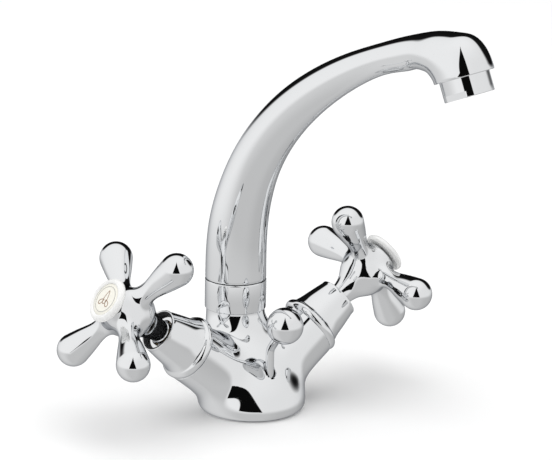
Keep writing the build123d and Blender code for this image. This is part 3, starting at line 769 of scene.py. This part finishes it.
# ------------------------------------------------------------------ bonnets, handles and index caps
# outlines are radius and distance along the arm
BONNET_SOCKET = [(12.0, 48.0), (12.0, 41.1), (14.3, 41.1)]
BEAD_CENTRE = (13.4, 43.6)
BEAD_ROUND = 2.5
BEAD_FROM, BEAD_TO = -68, 62  # degrees
SLEEVE = [(14.1, 46.2), (13.1, 49.5), (12.4, 53.1), (10.5, 62.9)]
RIM_CENTRE = (10.1, 63.8)
RIM_ROUND = 0.4
RIM_FROM, RIM_TO = -10, 170
BONNET_MOUTH = [(9.65, 61.4), (8.6, 61.4), (8.0, 61.55), (6.6, 61.2)]
BONNET_BORE = [(6.6, 58.6), (8.2, 58.6), (8.2, 50.0)]
# painted shade: outline of a black ring that stands for the shade and dark reflection in the recess inside the
# bonnet's rim
MOUTH_SHADE_RING = [(8.7, 61.45), (9.6, 61.45), (9.6, 63.9), (9.2, 63.95), (8.75, 63.2), (8.45, 62.2)]


def make_bonnet(side):
    """The bonnet with its bead, waisted sleeve and open mouth, and a black rubber ring in its mouth that paints
    the shade and dark reflection of the recess inside the rim.
    """
    outline = [*BONNET_SOCKET]
    outline += corner(BEAD_CENTRE, BEAD_ROUND, BEAD_FROM, BEAD_TO, 15)
    outline += [tuple(pair) for pair in curve(SLEEVE, 40)]
    outline += corner(RIM_CENTRE, RIM_ROUND, RIM_FROM, RIM_TO, 9)
    outline += BONNET_MOUTH + BONNET_BORE
    turned_piece(side + "_bonnet_sleeve", ARMS[side], outline, side + "_bonnet", "mixer_body")
    # the black ring in the mouth is painted shade for the recess inside the rim
    turned_piece(side + "_mouth_shade_ring", ARMS[side], MOUTH_SHADE_RING, None, "mixer_body", 96, "rubber")


CROSS = 86.4
HANDLE_BACK = 60.2
BARREL_TOP = 96.0
LOBE_REACH = 34.4
LOBE_R = 8.0
HUB_BLEND = 1.6
HUB_NECK_R = 5.5
# radius and distance along the arm, and radius and distance out from the hub
HUB = [
    (HUB_NECK_R, 65.0),
    (7.3, 71.8),
    (11.0, 78.0),
    (11.6, 83.0),
    (10.4, 88.5),
    (8.6, BARREL_TOP),
]
CLUB = [(6.5, 0.0), (6.2, 6.0), (5.3, 10.5), (4.7, 16.0), (6.2, 24.5), (7.853, 32.87)]
HUB_LINE = curve(HUB, 120)
CLUB_LINE = curve(CLUB, 120)
BALL_END_STEPS = (60, 40, 20, 3)  # degrees from the lobe's tip
HANDLE_TURN = {"hot": -52.9, "cold": -11.9}  # degrees
HANDLE_VOXEL = 0.5
FAR = 99.0  # past the ball the stem is out of reach


def club(reach, across):
    """Distance outside one lobe: a waisted stem with a ball at its end."""
    radius = np.interp(reach, CLUB_LINE[:, 1], CLUB_LINE[:, 0])
    stem = np.where(reach < LOBE_REACH, across - radius, FAR)
    ball = np.hypot(across, reach - LOBE_REACH) - LOBE_R
    return np.minimum(stem, ball)


def handle_field(p):
    """Rough distance outside the handle: a turned hub and four lobes."""
    u, v, s = p.T
    radius = np.interp(s, HUB_LINE[:, 1], HUB_LINE[:, 0])
    hub = np.hypot(u, v) - radius
    hub = np.maximum(hub, np.maximum(HANDLE_BACK - s, s - BARREL_TOP))
    across = s - CROSS
    lobes = [club(np.abs(u), np.hypot(v, across)), club(np.abs(v), np.hypot(u, across))]
    return soft_min([hub, *lobes], HUB_BLEND)


def make_handle(side):
    arm = ARMS[side]
    turned = radians(HANDLE_TURN[side])
    own = Axis(arm.origin, arm.z, arm.x * cos(turned) - arm.y * sin(turned))
    neck = [(HUB_NECK_R, HANDLE_BACK)] + [(r, s) for r, s in HUB_LINE[::10]]
    blocks = [skin(turned_rings(neck, 64))]
    lobe = [(r, d) for r, d in CLUB_LINE[::8]]
    for degree in BALL_END_STEPS:
        lobe.append((LOBE_R * sin(radians(degree)), LOBE_REACH + LOBE_R * cos(radians(degree))))
    for quarter in range(4):
        points, faces = skin(turned_rings(lobe, 48))
        way = radians(90 * quarter)
        spoke = Axis((0, 0, CROSS), (cos(way), sin(way), 0), (0, 0, 1))
        blocks.append((spoke.out(points), faces))
    piece = grow(side + "_cross_handle", blocks, handle_field, HANDLE_VOXEL, own)
    settle(piece, side + "_handle", side + "_handle_set")


INDEX_R = 11.1
INDEX_FACE = 99.5
INDEX_SEAT = INDEX_FACE - 2
DISC_HOLE_R = 8.1
INDEX_RIM = [
    (INDEX_R - 0.8, BARREL_TOP),
    (INDEX_R, BARREL_TOP + 1.3),
    (INDEX_R - 0.7, INDEX_FACE - 0.6),
    (INDEX_R - 2.1, INDEX_FACE),
    (DISC_HOLE_R, INDEX_FACE - 0.5),
]
PLUG_R = 5.95
PLUG_END = BARREL_TOP - 3
DISC_R = DISC_HOLE_R - 0.05
DISC_FACE = INDEX_FACE - 0.45
DISC_FLAT_R = 6.4
CENTRE_R = 0.01  # stands for a point on the axis
LINE_INNER_R, LINE_OUTER_R = 6.35, 6.6
LINE_LOW, LINE_TOP = DISC_FACE - 0.1, DISC_FACE + 0.09
# place on the disc, half height, half width and lean in degrees of each drop
DROPS = (
    (1.0, 0.0, 3.4, 1.25, 0),
    (-1.6, -2.2, 1.9, 0.95, 48),
    (-1.6, 2.2, 1.9, 0.95, -48),
)
DROP_TAPER = 0.45
DROP_STEPS = 48
STROKE = 0.17  # half the width of a drop's line
STROKE_LOW, STROKE_TOP = DISC_FACE - 0.05, DISC_FACE + 0.1
STROKE_SECTION = (
    (-STROKE, STROKE_LOW),
    (STROKE, STROKE_LOW),
    (STROKE, STROKE_TOP),
    (-STROKE, STROKE_TOP),
)


def make_drop(side, number, x, y, tall, wide, lean):
    """The outline of one drop as a thin raised line on the disc."""
    turned = np.linspace(0, 2 * pi, DROP_STEPS + 1)[:-1]
    up = tall * np.cos(turned)
    across = wide * np.sin(turned) * (1 - DROP_TAPER * np.cos(turned))
    a = radians(lean)
    along = x + up * cos(a) - across * sin(a)
    aside = y + up * sin(a) + across * cos(a)
    middle_line = np.stack((along, aside), axis=1)
    ahead = np.roll(middle_line, -1, axis=0) - np.roll(middle_line, 1, axis=0)
    ahead /= np.linalg.norm(ahead, axis=1, keepdims=True)
    outside = np.stack((ahead[:, 1], -ahead[:, 0]), axis=1)
    rings = []
    for centre, away in zip(middle_line, outside):
        rings.append([(*(centre + away * width), height) for width, height in STROKE_SECTION])
    points, faces = skin(rings, True)
    drop = add_mesh(f"{side}_index_drop_{number}", ARMS[side].out(points), faces)
    settle(drop, None, side + "_handle_set", side + "_mark")


def make_index_cap(side):
    """White rim and cream disc, and on it a ring line and three drops, the middle one tall."""
    body = side + "_handle_set"
    outline = [
        (CENTRE_R, INDEX_SEAT),
        (CENTRE_R, PLUG_END),
        (PLUG_R, PLUG_END),
        (PLUG_R, BARREL_TOP),
    ]
    outline += [tuple(pair) for pair in curve(INDEX_RIM, 40)]
    outline.append((DISC_HOLE_R, INDEX_SEAT))
    turned_piece(side + "_index_rim", ARMS[side], outline, side + "_index_ring", body, 128)
    disc = [
        (CENTRE_R, INDEX_SEAT),
        (DISC_R, INDEX_SEAT),
        (DISC_R, DISC_FACE - 0.35),
        (DISC_HOLE_R - 0.5, DISC_FACE - 0.1),
        (DISC_FLAT_R, DISC_FACE),
        (CENTRE_R, DISC_FACE + 0.05),
    ]
    turned_piece(side + "_index_face", ARMS[side], disc, side + "_index_disc", body, 96)
    line = [
        (LINE_INNER_R, LINE_LOW),
        (LINE_OUTER_R, LINE_LOW),
        (LINE_OUTER_R, LINE_TOP),
        (LINE_INNER_R, LINE_TOP),
    ]
    turned_piece(side + "_index_line", ARMS[side], line, None, body, 96, "index_line")
    for number, drop in enumerate(DROPS):
        make_drop(side, number, *drop)


for side in ARMS:
    make_bonnet(side)
    make_handle(side)
    make_index_cap(side)


# ------------------------------------------------------------------ lift rod and knob
ROD_R = 2.0
ROD_BEND_HEIGHT = 33.0
ROD_BEND_R = 6.0
ROD_BEND_STEPS = 20
KNOB_R = 8.9
KNOB_NECK_R = 2.9  # where the ball ends and its neck starts
KNOB_NECK = [(2.55, 8.75), (2.35, 9.1), (2.3, 9.5), (2.05, 9.6)]
POLE_R = 0.001


def make_lift_rod():
    """The rod, upright and then bent forward to its knob, and the ball knob with its neck."""
    bend = np.array((*ROD_CENTRE, ROD_BEND_HEIGHT))
    low = np.array((*ROD_CENTRE, span("lift_rod")[0][2]))
    ways = [bend - low, KNOB_CENTRE - bend]
    ways = [way / np.linalg.norm(way) for way in ways]
    half = np.arccos(ways[0] @ ways[1]) / 2
    trim = ROD_BEND_R * np.tan(half)
    path = [low, low + ways[0] * 10]
    start, end = bend - ways[0] * trim, bend + ways[1] * trim
    inward = (ways[1] - ways[0]) / np.linalg.norm(ways[1] - ways[0])
    centre = bend + inward * ROD_BEND_R / cos(half)
    for share in np.linspace(0, 1, ROD_BEND_STEPS):
        spoke = (start - centre) * (1 - share) + (end - centre) * share
        path.append(centre + spoke / np.linalg.norm(spoke) * ROD_BEND_R)
    path.append(KNOB_CENTRE)
    path = np.array(path)
    ahead = np.gradient(path, axis=0)
    ahead /= np.linalg.norm(ahead, axis=1, keepdims=True)
    ahead[0], ahead[1], ahead[-1] = ways[0], ways[0], ways[1]
    sideways = np.array((1.0, 0, 0))
    angles = np.linspace(0, 2 * pi, 48, endpoint=False)
    rings = []
    for point, way in zip(path, ahead):
        over = np.cross(way, sideways)
        around = np.outer(np.cos(angles), sideways) + np.outer(np.sin(angles), over)
        rings.append(point + ROD_R * around)
    settle(add_mesh("bent_rod", *skin(rings)), "lift_rod", "lift_rod_set")

    down = Axis(KNOB_CENTRE, -ways[1], (1, 0, 0))
    reach = np.degrees(np.arcsin(KNOB_NECK_R / KNOB_R))
    outline = []
    for turned in np.radians(np.linspace(180, reach, 90)):
        outline.append((max(KNOB_R * sin(turned), POLE_R), KNOB_R * cos(turned)))
    outline += KNOB_NECK
    turned_piece("ball_knob", down, outline, "lift_knob", "lift_rod_set", loop=False)


make_lift_rod()
